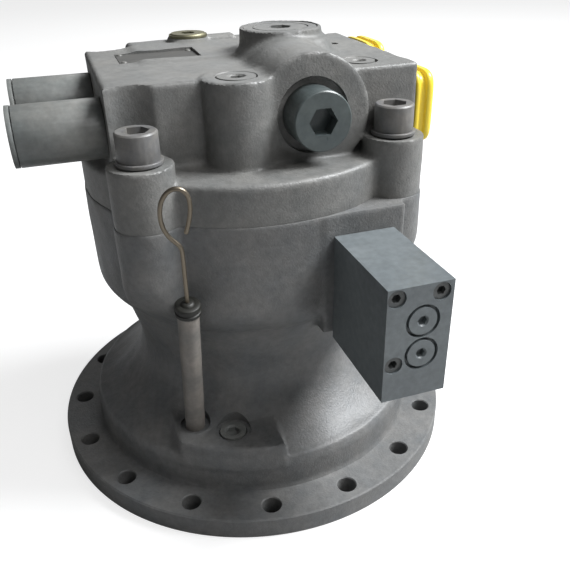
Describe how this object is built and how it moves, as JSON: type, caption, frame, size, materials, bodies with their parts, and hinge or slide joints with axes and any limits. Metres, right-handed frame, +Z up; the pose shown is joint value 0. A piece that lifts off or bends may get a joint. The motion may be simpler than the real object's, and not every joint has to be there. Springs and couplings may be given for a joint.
{
  "type": "hydraulic swing motor",
  "caption": "Axial piston swing motor with parking brake: flanged neck casing, bolted valve cover, side relief valves, brake valve block and dipstick.",
  "frame": {"origin": "centre of the mounting flange's bottom face, on the shaft axis", "axes": "+Z up along the shaft axis towards the valve cover, -Y towards the brake valve block, -X towards the two relief valves"},
  "size_m": [0.376, 0.4089, 0.366],
  "materials": {
    "cast_paint": "satin",
    "cover_paint": "satin",
    "machined_paint": "satin",
    "valve_body_paint": "satin",
    "bolt_paint": "satin",
    "screw_steel": "satin",
    "plug_zinc": "satin",
    "plate_paint": "satin",
    "tube_paint": "satin",
    "stick_wire": "satin",
    "black_rubber": "matte",
    "cap_plastic": "satin",
    "hard_steel": "satin",
    "spring_steel": "satin",
    "race_steel": "satin",
    "bronze": "satin",
    "friction_lining": "matte"
  },
  "bodies": {
    "housing": {"motor_casing": "cast_paint", "valve_casing": "cover_paint", "casing_bolts": "bolt_paint", "casing_washers": "bolt_paint", "casing_oring": "black_rubber", "dowel_pins": "hard_steel", "relief_body_near": "valve_body_paint", "relief_body_far": "valve_body_paint", "relief_cap_near": "valve_body_paint", "relief_cap_far": "valve_body_paint", "relief_spring_near": "spring_steel", "relief_spring_far": "spring_steel", "front_check_plug": "machined_paint", "front_check_spring": "spring_steel", "top_check_plug": "cover_paint", "top_check_spring": "spring_steel", "small_boss_plug": "cover_paint", "right_top_plug": "cover_paint", "back_plug": "plug_zinc", "nameplate": "plate_paint", "nameplate_rivets": "hard_steel", "port_cap_near": "cap_plastic", "port_cap_far": "cap_plastic", "brake_valve_block": "machined_paint", "block_screws": "screw_steel", "block_plugs": "machined_paint", "block_oring": "black_rubber", "timer_spring": "spring_steel", "drain_plug": "machined_paint", "dipstick_tube": "tube_paint", "dipstick_seal": "black_rubber", "oil_seal": "black_rubber", "seal_snap_ring": "spring_steel", "front_bearing_outer": "race_steel", "rear_bearing_outer": "race_steel", "swash_plate": "hard_steel", "valve_plate": "bronze", "separator_plates": "hard_steel", "brake_springs": "spring_steel"},
    "rotor": {"drive_shaft": "hard_steel", "cylinder_block": "hard_steel", "pistons": "hard_steel", "ball_guide": "hard_steel", "block_spring": "spring_steel", "friction_plates": "friction_lining", "front_bearing_inner": "race_steel", "rear_bearing_inner": "race_steel"},
    "shoe_set": {"piston_shoes": "bronze", "shoe_retainer": "hard_steel"},
    "front_cage": {"front_bearing_rollers": "race_steel"},
    "rear_cage": {"rear_bearing_rollers": "race_steel"},
    "brake_piston_set": {"brake_piston": "hard_steel", "brake_piston_rings": "black_rubber"},
    "poppet_near": {"relief_poppet_near": "hard_steel"},
    "poppet_far": {"relief_poppet_far": "hard_steel"},
    "front_plunger": {"front_check_plunger": "hard_steel"},
    "top_plunger": {"top_check_plunger": "hard_steel"},
    "spool": {"timer_spool": "hard_steel"},
    "stick": {"dipstick": "stick_wire"}
  },
  "joints": [
    {"name": "shaft_spin", "type": "hinge", "parent": "housing", "child": "rotor", "pos_m": [0, 0, 0], "axis": [0, 0, 1], "continuous": true, "deforming": ["pistons"]},
    {"name": "shoe_spin", "type": "hinge", "parent": "housing", "child": "shoe_set", "pos_m": [0, 0, 0.16934], "axis": [0, -0.2419, 0.9703], "continuous": true},
    {"name": "front_cage_spin", "type": "hinge", "parent": "housing", "child": "front_cage", "pos_m": [0, 0, 0], "axis": [0, 0, 1], "continuous": true},
    {"name": "rear_cage_spin", "type": "hinge", "parent": "housing", "child": "rear_cage", "pos_m": [0, 0, 0], "axis": [0, 0, 1], "continuous": true},
    {"name": "brake_release", "type": "slide", "parent": "housing", "child": "brake_piston_set", "axis": [0, 0, 1], "range_m": [0, 0.002], "stiffness_N_per_m": 20000, "springref_m": -0.01, "deforming": ["brake_springs"]},
    {"name": "relief_lift_near", "type": "slide", "parent": "housing", "child": "poppet_near", "axis": [-1, 0, 0], "range_m": [0, 0.003], "stiffness_N_per_m": 3000, "springref_m": -0.004, "deforming": ["relief_spring_near"]},
    {"name": "relief_lift_far", "type": "slide", "parent": "housing", "child": "poppet_far", "axis": [-1, 0, 0], "range_m": [0, 0.003], "stiffness_N_per_m": 3000, "springref_m": -0.004, "deforming": ["relief_spring_far"]},
    {"name": "front_check_lift", "type": "slide", "parent": "housing", "child": "front_plunger", "axis": [0, -1, 0], "range_m": [0, 0.008], "stiffness_N_per_m": 800, "springref_m": -0.006, "deforming": ["front_check_spring"]},
    {"name": "top_check_lift", "type": "slide", "parent": "housing", "child": "top_plunger", "axis": [0, 0, 1], "range_m": [0, 0.006], "stiffness_N_per_m": 800, "springref_m": -0.006, "deforming": ["top_check_spring"]},
    {"name": "timer_shift", "type": "slide", "parent": "housing", "child": "spool", "axis": [0, 1, 0], "range_m": [0, 0.008], "stiffness_N_per_m": 800, "springref_m": -0.006, "deforming": ["timer_spring"]},
    {"name": "dipstick_pull", "type": "slide", "parent": "housing", "child": "stick", "axis": [0, -0.1942, 0.981], "range_m": [0, 0.17]}
  ],
  "couplings": [
    {"joint": "shoe_spin", "follows": "shaft_spin", "ratio": 1},
    {"joint": "front_cage_spin", "follows": "shaft_spin", "ratio": 0.40526},
    {"joint": "rear_cage_spin", "follows": "shaft_spin", "ratio": 0.42593}
  ]
}
